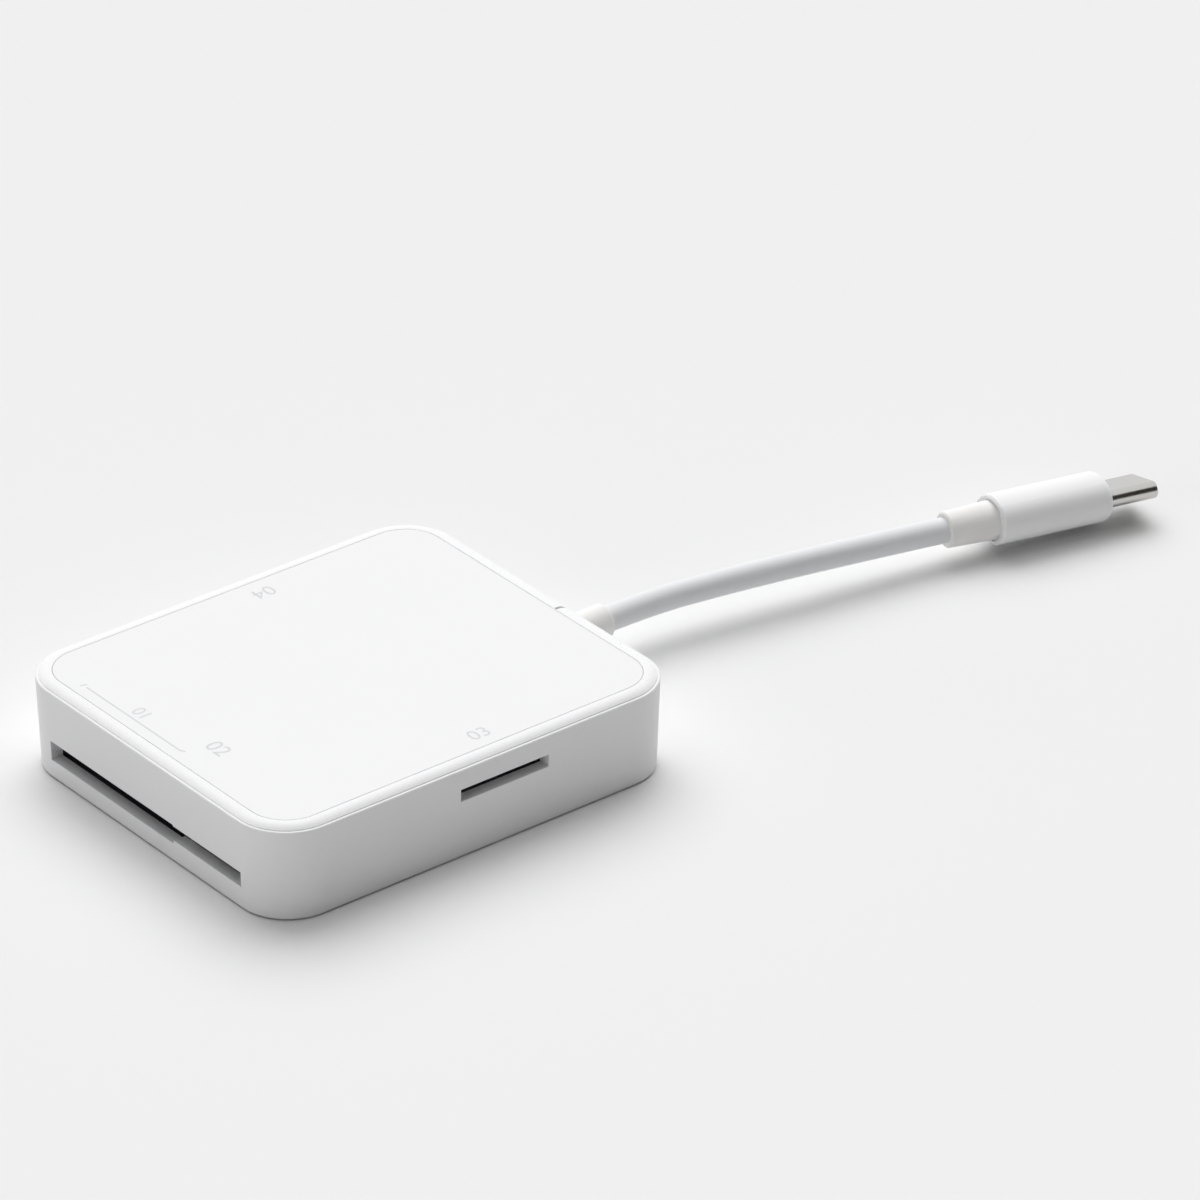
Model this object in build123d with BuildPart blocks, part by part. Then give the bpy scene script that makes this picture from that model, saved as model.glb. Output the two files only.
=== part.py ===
"""Card reader: a rounded case with four card bays and a short captive cable ending in a USB plug.

Millimetres, +Z up. X runs across the front bays and Y from the front bays to the cable.
The origin is on the table, under the middle of the case.
"""

import os
from math import atan, cos, degrees, radians, sin, tan

from build123d import *

os.makedirs("parts", exist_ok=True)

# Case shell
case_width = 60.4
case_length = 69.8
corner_radius = 8.2
wall = 1.6
case_floor = 1.7
wall_draft = 2.0
plinth_height = 0.2
plinth_inset = 1.2
base_chamfer = 0.08
wall_edge_chamfer = 0.1

# Cover: a rim that falls away in an arc to a small upright land, and a plate let in flush
ledge = 0.45
rim_drop = 0.6
rim_land = 0.1
rim_run = 1.4
plate_inset = 2.35
plate_thick = 0.7
groove = 0.05
seam_chamfer = 0.06
cover_sheet = 1.2
cover_fit = 0.2

# Snap tabs of the cover and their pockets in the side walls
snap_spacing = 44.0
snap_width = 6.0
snap_thick = 1.0
snap_reach = 2.0
snap_hook = 0.45
snap_fit = 0.15

# Front opening: a wide and a narrow bay that share one stepped slot
front_left_margin = 8.4
front_right_margin = 8.3
wide_share = 0.65
wide_slot_floor = 2.95
wide_slot_height = 3.0
narrow_floor_step = 0.5
narrow_roof_step = 0.2
front_sleeve = 2.3

# Side openings: a full-size card on the left, a small card on the right
side_slot_center = 3.8
left_slot_width = 24.6
left_slot_height = 2.5
right_slot_width = 15.0
right_slot_height = 1.9
side_sleeve = 2.05
sleeve_wall = 0.9
sleeve_gap = 0.2
mouth_chamfer = 0.05

# Circuit board and what holds it
bay_roof = 0.85
board_thick = 1.0
board_front_gap = 5.2
board_side_gap = 3.45
board_rear_gap = 1.6
post_radius = 2.1
post_facets = 16
post_edge = 3.6
screw_radius = 0.95
screw_head_radius = 1.7
screw_head_height = 1.1
screw_head_chamfer = 0.4
screw_length = 5.0
screw_fit = 0.05
screw_facets = 12
screw_head_facets = 16

# Card sockets: moulded base, stamped shell, spring contacts
socket_base = 1.1
socket_rail = 0.7
socket_stop = 1.2
shell_sheet = 0.25
shell_fit = 0.05
card_play = 0.1
head_room = 0.85
left_socket_depth = 25.15
right_socket_depth = 16.15
narrow_socket_depth = 24.9
contact_thick = 0.15
contact_gap = 0.1
contact_lift = 0.35
contact_tail = 1.0
contact_spread = 0.9
contact_fill = 0.45
contact_foot_share = 0.3
contact_nose_share = 0.2
narrow_contact_count = 10
narrow_channel = 9.0
left_contact_count = 9
left_channel = 9.0
right_contact_count = 8
right_channel = 6.0
window_width = 2.4
window_length = 4.0

# Wide bay: a pin header at the end of a moulded tunnel
wide_bay_depth = 28.9
wide_bay_header = 5.0
bay_rail = 1.2
bay_divider = 0.9
bay_gap = 0.2
pin_side = 0.45
pin_pitch = 1.27
pin_row_pitch = 1.27
pin_margin = 3.0
pin_reach = 3.6
pin_tail_gaps = [1.6, 0.8]
pin_fit = 0.02

# Parts on the board
chip_side = 7.0
chip_height = 0.9
chip_mark_radius = 0.4
chip_mark_depth = 0.1
crystal_length = 3.2
crystal_width = 2.5
crystal_height = 0.8
crystal_corner = 0.5
crystal_chamfer = 0.15
regulator_length = 6.5
regulator_width = 3.5
regulator_height = 1.6
regulator_chamfer = 0.25
regulator_tab_width = 3.2
regulator_tab_reach = 1.6
regulator_tab_thick = 0.4
passive_length = 1.6
passive_width = 0.8
passive_height = 0.6
passive_pitch = 2.6
passive_count = 6
lamp_base_height = 0.3
lamp_lens_length = 1.0

# Status light
light_x = 4.45
light_width = 0.4
light_setback = 1.2
light_lens_gap = 0.2
light_fit = 0.05
pipe_foot = 1.2
pipe_arm = 0.9
pipe_leg = 0.8
pipe_margin = 0.2

# Cable, its grommet in the rear wall and its leads
cable_radius = 1.9
cable_height = 6.3
grommet_radius = 2.5
grommet_reach = 10.1
grommet_fit = 0.05
grommet_end_chamfer = 0.2
flange_radius = 4.0
flange_thick = 1.6
flange_pad = 0.6
flange_gap = 0.5
grommet_tail = 3.0
wire_radius = 0.45
wire_facets = 8
wire_pitch = 1.1
wire_count = 4
wire_lead_in = 1.0
wire_landing = 3.0
notch_depth = 8.5

# Route of the cable from the end of the grommet, chosen by hand
cable_steps = [
    (0.0, 0.0, 0.0),
    (0.0, 8.5, 0.0),
    (1.79, 19.23, -0.01),
    (3.58, 29.12, -0.17),
    (5.34, 39.23, -0.55),
    (7.07, 49.31, -1.03),
    (8.42, 55.67, -1.2),
]
run_share = 0.45

# Plug at the end of the cable, in line with the cable's last run
plug_roll = 16.0
collar_length = 7.5
collar_small_radius = 2.65
collar_large_radius = 2.95
collar_edge_chamfer = 0.2
plug_body_length = 18.2
plug_body_width = 9.3
plug_body_height = 7.45
plug_end_share = 0.87
plug_rear_rim = 0.6
plug_rear_recess = 0.3
plug_rear_chamfer = 0.25
plug_front_round = 1.0
plug_shell_width = 8.34
plug_shell_height = 2.56
plug_shell_sheet = 0.3
plug_shell_reach = 7.5
plug_shell_root = 4.0
plug_shell_back = 0.5
plug_shell_round = 0.25
plug_fit = 0.03
liner_recess = 0.9
tongue_slot_width = 6.9
tongue_slot_height = 0.86
tongue_slot_depth = 5.6
plug_contact_width = 0.25
plug_contact_thick = 0.08
plug_contact_pitch = 0.5
plug_contact_columns = 12
plug_contact_length = 4.4
latch_width = 0.25
latch_height = 0.7
latch_length = 4.0

# Levels, worked out upwards from the front bays
wide_slot_roof = wide_slot_floor + wide_slot_height
narrow_slot_floor = wide_slot_floor + narrow_floor_step
narrow_slot_roof = wide_slot_roof - narrow_roof_step
board_seat = wide_slot_roof + bay_roof
board_top = board_seat + board_thick
side_slot_floor = board_top + socket_base
tallest_socket = side_slot_floor + left_slot_height + card_play + shell_sheet
cover_under = tallest_socket + head_room
plate_seat = cover_under + cover_sheet
case_height = plate_seat + plate_thick
parting = case_height - rim_drop

# Places, worked out from the case's outline
half_width = case_width / 2
half_length = case_length / 2
draft_inset = parting * tan(radians(wall_draft))
wide_left = -half_width + front_left_margin
narrow_right = half_width - front_right_margin
front_slot_width = narrow_right - wide_left
wide_slot_width = wide_share * front_slot_width
bay_step = wide_left + wide_slot_width
front_sleeve_end = -half_length + front_sleeve
bay_front = front_sleeve_end + sleeve_gap
board_front = front_sleeve_end + board_front_gap
board_rear = half_length - wall - board_rear_gap
board_half_width = half_width - side_sleeve - board_side_gap
socket_mouth = half_width - side_sleeve - sleeve_gap
aisle_left = -socket_mouth + left_socket_depth
aisle_right = socket_mouth - right_socket_depth
flange_face = half_length - wall - flange_pad
left_socket_front = side_slot_center - left_slot_width / 2 - socket_rail - shell_fit - shell_sheet
chip_y = (board_front + left_socket_front) / 2
notch_half_width = flange_radius + flange_gap
notch_front = board_rear - notch_depth
post_places = [
    (-board_half_width + post_edge, board_rear - post_edge),
    (board_half_width - post_edge, board_rear - post_edge),
    ((aisle_left + aisle_right) / 2, side_slot_center),
]
snap_places = [-snap_spacing / 2, snap_spacing / 2]


def keep(piece, name):
    """Labels a finished piece and writes it to its own file."""
    piece.part.label = name
    export_step(piece.part, f"parts/{name}.step")


def case_outline(inset):
    """The case's rounded outline at its parting line, drawn inside by an inset."""
    RectangleRounded(case_width - 2 * inset, case_length - 2 * inset, corner_radius - inset)


def rim_curve(edge):
    """The rim's arc in a section, level with the plate at its inner end and steepest over the land."""
    return TangentArc((edge - rim_run, case_height), (edge, parting + rim_land), tangent=(1, 0))


def mouth_outline(inward, corners):
    """An opening's outline with its chamfer, on a drafted wall that faces against inward.

    The corners are pairs of a place along the wall and a height.
    """
    draft = radians(wall_draft)
    wall_plane = Plane(
        (-inward.X * half_width, -inward.Y * half_length, parting),
        x_dir=(-inward.Y, inward.X, 0),
        z_dir=inward * cos(draft) + Vector(0, 0, sin(draft)),
    )
    on_wall = [(along, (height - parting) / cos(draft)) for along, height in corners]
    with BuildSketch(wall_plane) as mouth:
        with BuildLine():
            Polyline(*on_wall, close=True)
        make_face()
        offset(amount=mouth_chamfer, kind=Kind.INTERSECTION)
    return mouth.sketch


# Lower case: drafted tray with the card sleeves, screw posts and cable hole
from_parting = Plane((0, 0, parting), x_dir=(1, 0, 0), z_dir=(0, 0, -1))
side_slots = [
    (-1, left_slot_width, left_slot_height),
    (1, right_slot_width, right_slot_height),
]
front_slot = [
    (wide_left, wide_slot_floor),
    (bay_step, wide_slot_floor),
    (bay_step, narrow_slot_floor),
    (narrow_right, narrow_slot_floor),
    (narrow_right, narrow_slot_roof),
    (bay_step, narrow_slot_roof),
    (bay_step, wide_slot_roof),
    (wide_left, wide_slot_roof),
]
with BuildPart() as lower_case:
    with BuildSketch(from_parting):
        case_outline(0)
    extrude(amount=parting - plinth_height, taper=wall_draft)
    chamfer(lower_case.faces().sort_by(Axis.Z)[0].edges(), base_chamfer)
    chamfer(lower_case.faces().sort_by(Axis.Z)[-1].edges(), wall_edge_chamfer)

    # Plinth that keeps the wall's lower edge a little above the table
    with BuildSketch():
        case_outline(draft_inset + plinth_inset)
    extrude(amount=plinth_height)

    # Pocket, with the same draft as the outside
    with BuildSketch(from_parting):
        case_outline(wall)
    extrude(amount=parting - case_floor, taper=wall_draft, mode=Mode.SUBTRACT)

    # Sleeve behind the front opening, standing on the floor
    sleeve_root = -half_length + wall / 2 + draft_inset / 2
    with BuildSketch(Plane.XY.offset(case_floor / 2)):
        with Locations(((wide_left + narrow_right) / 2, (sleeve_root + front_sleeve_end) / 2)):
            Rectangle(front_slot_width + 2 * sleeve_wall, front_sleeve_end - sleeve_root)
    extrude(amount=wide_slot_roof + sleeve_wall - case_floor / 2)

    # Sleeves behind the side openings
    for side, slot_width, slot_height in side_slots:
        sleeve_start = half_width - wall / 2 - draft_inset / 2
        with BuildSketch(Plane.YZ.offset(side * sleeve_start)):
            with Locations((side_slot_center, side_slot_floor + slot_height / 2)):
                Rectangle(slot_width + 2 * sleeve_wall, slot_height + 2 * sleeve_wall)
        extrude(amount=-side * (sleeve_start - half_width + side_sleeve))

    # Screw posts and the pad that the grommet's flange rests on
    with BuildSketch(Plane.XY.offset(case_floor / 2)):
        with Locations(*post_places):
            RegularPolygon(post_radius, post_facets)
    extrude(amount=board_seat - case_floor / 2)
    with BuildSketch(Plane.XY.offset(case_floor / 2)):
        with Locations((0, (flange_face + half_length - wall / 2) / 2)):
            Rectangle(2 * notch_half_width, half_length - wall / 2 - flange_face)
    extrude(amount=cable_height + notch_half_width - case_floor / 2)

    # Openings
    with BuildSketch(Plane.XZ.offset(half_length)):
        with BuildLine():
            Polyline(*front_slot, close=True)
        make_face()
    extrude(amount=-front_sleeve, mode=Mode.SUBTRACT)
    front_mouth = mouth_outline(Vector(0, 1, 0), [(-x, z) for x, z in front_slot])
    extrude(front_mouth, amount=mouth_chamfer, taper=45, mode=Mode.SUBTRACT)
    for side, slot_width, slot_height in side_slots:
        with BuildSketch(Plane.YZ.offset(side * half_width)):
            with Locations((side_slot_center, side_slot_floor + slot_height / 2)):
                Rectangle(slot_width, slot_height)
        extrude(amount=-side * side_sleeve, mode=Mode.SUBTRACT)
        slot_start = -side * side_slot_center - slot_width / 2
        slot_end = -side * side_slot_center + slot_width / 2
        slot_roof = side_slot_floor + slot_height
        side_slot = [
            (slot_start, side_slot_floor),
            (slot_end, side_slot_floor),
            (slot_end, slot_roof),
            (slot_start, slot_roof),
        ]
        side_mouth = mouth_outline(Vector(-side, 0, 0), side_slot)
        extrude(side_mouth, amount=mouth_chamfer, taper=45, mode=Mode.SUBTRACT)

    # Cable hole, screw holes, snap pockets and the light pipe's groove
    with BuildSketch(Plane.XZ.offset(-half_length)):
        with Locations((0, cable_height)):
            Circle(grommet_radius + grommet_fit)
    extrude(amount=half_length - flange_face, mode=Mode.SUBTRACT)
    with BuildSketch(Plane.XY.offset(board_seat)):
        with Locations(*post_places):
            Circle(screw_radius + screw_fit)
    extrude(amount=-(screw_length - board_thick + screw_fit), mode=Mode.SUBTRACT)
    for side in (-1, 1):
        with BuildSketch(Plane.YZ.offset(side * (half_width - wall - cover_fit))):
            with Locations(*[(y, cover_under - snap_reach) for y in snap_places]):
                Rectangle(snap_width + 2 * snap_fit, 2 * snap_hook + 2 * snap_fit)
        extrude(amount=side * (cover_fit + snap_hook + snap_fit), mode=Mode.SUBTRACT)
    pipe_out = half_length - plate_inset + pipe_margin + pipe_leg
    pipe_arm_top = cover_under - pipe_margin
    pipe_arm_low = pipe_arm_top - pipe_arm
    with BuildSketch(Plane.XY.offset(parting)):
        with Locations((light_x, (flange_face + pipe_out + light_fit) / 2)):
            Rectangle(light_width + 2 * light_fit, pipe_out + light_fit - flange_face)
    extrude(amount=pipe_arm_low - light_fit - parting, mode=Mode.SUBTRACT)
keep(lower_case, "lower_case")

# Upper cover: rim, sheet under the plate and four snap tabs
from_top = Plane((0, 0, case_height), x_dir=(1, 0, 0), z_dir=(0, 0, -1))
with BuildPart() as upper_cover:
    with BuildSketch(Plane.XY.offset(cover_under)):
        case_outline(wall + cover_fit)
    extrude(amount=parting - cover_under)
    with BuildSketch(Plane.XY.offset(parting)) as rim_outline:
        case_outline(ledge)
    extrude(amount=rim_drop)
    rim_path = rim_outline.sketch.faces()[0].outer_wire()
    rim_edge = half_width - ledge
    with BuildSketch(Plane.XZ):
        with BuildLine():
            rim_arc = rim_curve(rim_edge)
            Polyline(
                rim_arc @ 1,
                (rim_edge, parting),
                (rim_edge + ledge, parting),
                (rim_edge + ledge, case_height),
                rim_arc @ 0,
            )
        make_face()
    sweep(path=rim_path, mode=Mode.SUBTRACT)

    # Recess for the plate, with a broken edge
    with BuildSketch(Plane.XY.offset(plate_seat)):
        case_outline(plate_inset)
    extrude(amount=plate_thick, mode=Mode.SUBTRACT)
    with BuildSketch(from_top):
        case_outline(plate_inset - seam_chamfer)
    extrude(amount=seam_chamfer, taper=45, mode=Mode.SUBTRACT)

    # Snap tabs, each with a wedge-shaped hook
    tab_face = half_width - wall - cover_fit
    hook_height = cover_under - snap_reach
    for y in snap_places:
        for side in (-1, 1):
            with BuildSketch(Plane.XZ.offset(-y)):
                with BuildLine():
                    Polyline(
                        (side * (tab_face - snap_thick), cover_under),
                        (side * tab_face, cover_under),
                        (side * tab_face, hook_height + snap_hook),
                        (side * (tab_face + snap_hook), hook_height + snap_hook),
                        (side * tab_face, hook_height - snap_hook),
                        (side * (tab_face - snap_thick), hook_height - snap_hook),
                        close=True,
                    )
                make_face()
            extrude(amount=snap_width / 2, both=True)

    # Slit for the light pipe across the rear rim
    pipe_inner = half_length - plate_inset + pipe_margin
    with BuildSketch(Plane.XY.offset(cover_under)):
        with Locations((light_x, (pipe_inner - light_fit + half_length) / 2)):
            Rectangle(light_width + 2 * light_fit, half_length - pipe_inner + light_fit)
    extrude(amount=case_height - cover_under, mode=Mode.SUBTRACT)
keep(upper_cover, "upper_cover")

# Top plate, let into the cover with a hairline groove round it
with BuildPart() as top_plate:
    with BuildSketch(Plane.XY.offset(plate_seat)):
        case_outline(plate_inset + groove)
    extrude(amount=plate_thick)
    chamfer(top_plate.faces().sort_by(Axis.Z)[-1].edges(), seam_chamfer)
keep(top_plate, "top_plate")

# Light pipe: from over the lamp, along under the cover and up through the rim
light_y = board_rear - light_setback
pipe_foot_z = board_top + passive_height + light_lens_gap
with BuildPart() as light_pipe:
    with BuildSketch(Plane.YZ.offset(light_x)):
        with BuildLine():
            lens = rim_curve(half_length - ledge)
            Polyline(
                lens @ 0,
                (pipe_inner, case_height),
                (pipe_inner, pipe_arm_top),
                (light_y - pipe_foot / 2, pipe_arm_top),
                (light_y - pipe_foot / 2, pipe_foot_z),
                (light_y + pipe_foot / 2, pipe_foot_z),
                (light_y + pipe_foot / 2, pipe_arm_low),
                (pipe_out, pipe_arm_low),
                (pipe_out, parting),
                (half_length - ledge, parting),
                lens @ 1,
            )
        make_face()
    extrude(amount=light_width / 2, both=True)
keep(light_pipe, "light_pipe")

# Circuit board, notched at the rear for the grommet
with BuildPart() as circuit_board:
    with BuildSketch(Plane.XY.offset(board_seat)):
        with Locations((0, (board_front + board_rear) / 2)):
            Rectangle(2 * board_half_width, board_rear - board_front)
        with Locations((0, (notch_front + board_rear) / 2)):
            Rectangle(2 * notch_half_width, notch_depth, mode=Mode.SUBTRACT)
        with Locations(*post_places):
            Circle(screw_radius + screw_fit, mode=Mode.SUBTRACT)
    extrude(amount=board_thick)
keep(circuit_board, "circuit_board")

# Board screws: pan heads on the board, shanks in the posts
with BuildPart() as board_screws:
    with BuildSketch(Plane.XY.offset(board_top)):
        with Locations(*post_places):
            RegularPolygon(screw_head_radius, screw_head_facets)
    extrude(amount=screw_head_height)
    head_tops = board_screws.faces().group_by(Axis.Z)[-1]
    chamfer(head_tops.edges(), screw_head_chamfer)
    with BuildSketch(Plane.XY.offset(board_top)):
        with Locations(*post_places):
            RegularPolygon(screw_radius, screw_facets)
    extrude(amount=-screw_length)
keep(board_screws, "board_screws")


def socket_shell(place, slot_width, slot_height, base_height, depth):
    """Stamped channel over a socket, from the board up round the base, with two windows in its roof."""
    inner_width = slot_width + 2 * (socket_rail + shell_fit)
    roof = base_height + slot_height + card_play
    with BuildPart() as shell:
        with BuildSketch(place):
            with Locations((depth / 2, 0)):
                Rectangle(depth, inner_width + 2 * shell_sheet)
        extrude(amount=roof + shell_sheet)
        with BuildSketch(place):
            with Locations((depth / 2, 0)):
                Rectangle(depth, inner_width)
        extrude(amount=roof, mode=Mode.SUBTRACT)
        with BuildSketch(place.offset(roof)):
            with Locations((depth / 2, 0)):
                with GridLocations(1, slot_width / 2, 1, 2):
                    Rectangle(window_length, window_width)
        extrude(amount=shell_sheet, mode=Mode.SUBTRACT)
    return shell


def contact_grid(slot_width, count):
    """Pitch and width of a socket's contacts, shared out over its slot."""
    pitch = contact_spread * slot_width / count
    return pitch, contact_fill * pitch


def socket_tray(place, slot_width, slot_height, base_height, depth, count, channel):
    """Moulded base: a floor slotted for the contacts, two rails and a stop across the end."""
    pitch, contact_width = contact_grid(slot_width, count)
    with BuildPart() as tray:
        with BuildSketch(place):
            with Locations((depth / 2, 0)):
                Rectangle(depth, slot_width + 2 * socket_rail)
        extrude(amount=base_height + slot_height)
        with BuildSketch(place.offset(base_height)):
            with Locations(((depth - socket_stop) / 2, 0)):
                Rectangle(depth - socket_stop, slot_width)
        extrude(amount=slot_height, mode=Mode.SUBTRACT)
        with BuildSketch(place):
            with Locations((depth - channel / 2, 0)):
                with GridLocations(1, pitch, 1, count):
                    Rectangle(channel, contact_width + 2 * contact_gap)
        extrude(amount=base_height, mode=Mode.SUBTRACT)
    return tray


def socket_contacts(place, slot_width, base_height, depth, count, channel):
    """Spring strips: a tail on the board behind the socket, a rising beam and a turned-down nose."""
    pitch, contact_width = contact_grid(slot_width, count)
    side_plane = Plane(place.origin, x_dir=place.x_dir, z_dir=place.x_dir.cross(place.z_dir))
    nose = depth - channel + contact_gap
    low_side = [
        (depth + contact_tail, 0),
        (depth - channel * contact_foot_share, 0),
        (nose + channel * contact_nose_share, base_height + contact_lift),
        (nose, base_height / 2),
    ]
    high_side = [(along, height + contact_thick) for along, height in reversed(low_side)]
    with BuildPart() as contacts:
        for column in range(count):
            across = (column - (count - 1) / 2) * pitch
            with BuildSketch(side_plane.offset(across)):
                with BuildLine():
                    Polyline(*low_side, *high_side, close=True)
                make_face()
            extrude(amount=contact_width / 2, both=True)
    return contacts


# Narrow bay hangs under the board; the side sockets stand on it
narrow_left = bay_step + bay_divider + bay_gap + shell_sheet + shell_fit + socket_rail
narrow_width = narrow_right - narrow_left
narrow_place = Plane(
    ((narrow_left + narrow_right) / 2, bay_front, board_seat), x_dir=(0, 1, 0), z_dir=(0, 0, -1)
)
left_place = Plane((-socket_mouth, side_slot_center, board_top), x_dir=(1, 0, 0), z_dir=(0, 0, 1))
right_place = Plane((socket_mouth, side_slot_center, board_top), x_dir=(-1, 0, 0), z_dir=(0, 0, 1))

# Each socket's name, place, slot, base, depth, contacts and contact channel
narrow_base = board_seat - narrow_slot_roof
narrow_height = narrow_slot_roof - narrow_slot_floor
sockets = [
    ("narrow_bay", narrow_place, narrow_width, narrow_height, narrow_base, narrow_socket_depth,
     narrow_contact_count, narrow_channel),
    ("left_socket", left_place, left_slot_width, left_slot_height, socket_base, left_socket_depth,
     left_contact_count, left_channel),
    ("right_socket", right_place, right_slot_width, right_slot_height, socket_base,
     right_socket_depth, right_contact_count, right_channel),
]
for name, place, slot_width, slot_height, base_height, depth, count, channel in sockets:
    keep(socket_shell(place, slot_width, slot_height, base_height, depth), f"{name}_shell")
    keep(
        socket_tray(place, slot_width, slot_height, base_height, depth, count, channel),
        f"{name}_base",
    )
    keep(socket_contacts(place, slot_width, base_height, depth, count, channel), f"{name}_contacts")

# Wide bay frame: a tunnel that ends in a header, from the floor up to the board
wide_center = (wide_left + bay_step) / 2
header_front = bay_front + wide_bay_depth - wide_bay_header
header_back = bay_front + wide_bay_depth
pin_columns = int((wide_slot_width - pin_margin) / pin_pitch)
pin_rows = [
    (wide_slot_floor + wide_slot_roof - pin_row_pitch) / 2,
    (wide_slot_floor + wide_slot_roof + pin_row_pitch) / 2,
]
with BuildPart() as wide_bay_frame:
    with BuildSketch(Plane.XY.offset(case_floor)):
        with Locations((wide_center + (bay_divider - bay_rail) / 2, bay_front + wide_bay_depth / 2)):
            Rectangle(wide_slot_width + bay_rail + bay_divider, wide_bay_depth)
    extrude(amount=board_seat - case_floor)
    with BuildSketch(Plane.XZ.offset(-bay_front)):
        with Locations((wide_center, (wide_slot_floor + wide_slot_roof) / 2)):
            Rectangle(wide_slot_width + 2 * card_play, wide_slot_height + 2 * card_play)
    extrude(amount=bay_front - header_front, mode=Mode.SUBTRACT)
    with BuildSketch(Plane.XZ.offset(-header_front)):
        for row in pin_rows:
            with Locations((wide_center, row)):
                with GridLocations(pin_pitch, 1, pin_columns, 1):
                    Rectangle(pin_side + 2 * pin_fit, pin_side + 2 * pin_fit)
    extrude(amount=-wide_bay_header, mode=Mode.SUBTRACT)
keep(wide_bay_frame, "wide_bay_frame")

# Wide bay pins: straight through the header, then up to the board, the lower row further back
with BuildPart() as wide_bay_pins:
    for column in range(pin_columns):
        pin_x = wide_center + (column - (pin_columns - 1) / 2) * pin_pitch
        for height, tail_gap in zip(pin_rows, pin_tail_gaps):
            tail = header_back + tail_gap
            with BuildSketch(Plane.YZ.offset(pin_x)):
                with BuildLine():
                    Polyline(
                        (header_front - pin_reach, height - pin_side / 2),
                        (tail + pin_side / 2, height - pin_side / 2),
                        (tail + pin_side / 2, board_seat),
                        (tail - pin_side / 2, board_seat),
                        (tail - pin_side / 2, height + pin_side / 2),
                        (header_front - pin_reach, height + pin_side / 2),
                        close=True,
                    )
                make_face()
            extrude(amount=pin_side / 2, both=True)
keep(wide_bay_pins, "wide_bay_pins")

# Controller chip with its corner mark
with BuildPart() as controller_chip:
    with BuildSketch(Plane.XY.offset(board_top)):
        with Locations((0, chip_y)):
            Rectangle(chip_side, chip_side)
    extrude(amount=chip_height)
    mark = chip_side / 2 - 2 * chip_mark_radius
    with BuildSketch(Plane.XY.offset(board_top + chip_height)):
        with Locations((-mark, chip_y + mark)):
            Circle(chip_mark_radius)
    extrude(amount=-chip_mark_depth, mode=Mode.SUBTRACT)
keep(controller_chip, "controller_chip")

# Crystal can beside the chip
with BuildPart() as crystal:
    with BuildSketch(Plane.XY.offset(board_top)):
        with Locations((chip_side + crystal_length / 2, chip_y)):
            RectangleRounded(crystal_length, crystal_width, crystal_corner)
    extrude(amount=crystal_height)
    chamfer(crystal.faces().sort_by(Axis.Z)[-1].edges(), crystal_chamfer)
keep(crystal, "crystal")

# Voltage regulator: body with a wide tab on one side
with BuildPart() as regulator:
    regulator_x = -chip_side - regulator_length / 2
    with BuildSketch(Plane.XY.offset(board_top)):
        with Locations((regulator_x, chip_y)):
            Rectangle(regulator_length, regulator_width)
    extrude(amount=regulator_height)
    chamfer(regulator.faces().sort_by(Axis.Z)[-1].edges(), regulator_chamfer)
    with BuildSketch(Plane.XY.offset(board_top)):
        with Locations((regulator_x, chip_y + (regulator_width + regulator_tab_reach) / 2)):
            Rectangle(regulator_tab_width, regulator_tab_reach)
    extrude(amount=regulator_tab_thick)
keep(regulator, "regulator")


def passive_row(center_y, count):
    """A row of small two-ended parts on the board, across its middle."""
    with BuildPart() as row:
        with BuildSketch(Plane.XY.offset(board_top)):
            with Locations((0, center_y)):
                with GridLocations(passive_pitch, 1, count, 1):
                    Rectangle(passive_length, passive_width)
        extrude(amount=passive_height)
    return row


passive_gap = chip_side / 2 + 2 * passive_width
keep(passive_row(chip_y + passive_gap, passive_count), "capacitors")
keep(passive_row(chip_y - passive_gap, passive_count), "resistors")

# Status lamp under the light pipe's foot
with BuildPart() as status_lamp:
    with BuildSketch(Plane.XY.offset(board_top)):
        with Locations((light_x, light_y)):
            Rectangle(passive_width, passive_length)
    extrude(amount=lamp_base_height)
    with BuildSketch(Plane.XY.offset(board_top + lamp_base_height)):
        with Locations((light_x, light_y)):
            Rectangle(passive_width, lamp_lens_length)
    extrude(amount=passive_height - lamp_base_height)
keep(status_lamp, "status_lamp")

# Grommet: tail and flange inside the rear wall, barrel outside
cable_exit = Vector(0, half_length + grommet_reach, cable_height)
flange_inner = flange_face - flange_thick
tail_end = flange_inner - grommet_tail
with BuildPart() as cable_grommet:
    with BuildSketch(Plane.YZ):
        with BuildLine():
            Polyline(
                (tail_end, cable_height),
                (tail_end, cable_height + grommet_radius),
                (flange_inner, cable_height + grommet_radius),
                (flange_inner, cable_height + flange_radius),
                (flange_face, cable_height + flange_radius),
                (flange_face, cable_height + grommet_radius),
                (cable_exit.Y, cable_height + grommet_radius),
                (cable_exit.Y, cable_height),
                close=True,
            )
        make_face()
    revolve(axis=Axis((0, 0, cable_height), (0, 1, 0)))
    end_edges = cable_grommet.edges().group_by(Axis.Y)[-1]
    chamfer(end_edges, grommet_end_chamfer)
keep(cable_grommet, "cable_grommet")

# Leads from the grommet's tail up on to the board
wire_level = board_top + wire_radius
with BuildPart() as lead_wires:
    for wire in range(wire_count):
        wire_x = (wire - (wire_count - 1) / 2) * wire_pitch
        rise = wire_level - cable_height
        with BuildLine() as wire_path:
            Polyline(
                (wire_x, tail_end, cable_height),
                (wire_x, notch_front + wire_lead_in + rise, cable_height),
                (wire_x, notch_front + wire_lead_in, wire_level),
                (wire_x, notch_front - wire_landing, wire_level),
            )
        with BuildSketch(Plane((wire_x, tail_end, cable_height), z_dir=(0, -1, 0))):
            RegularPolygon(wire_radius, wire_facets)
        sweep(path=wire_path.line, transition=Transition.RIGHT)
keep(lead_wires, "lead_wires")

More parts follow.
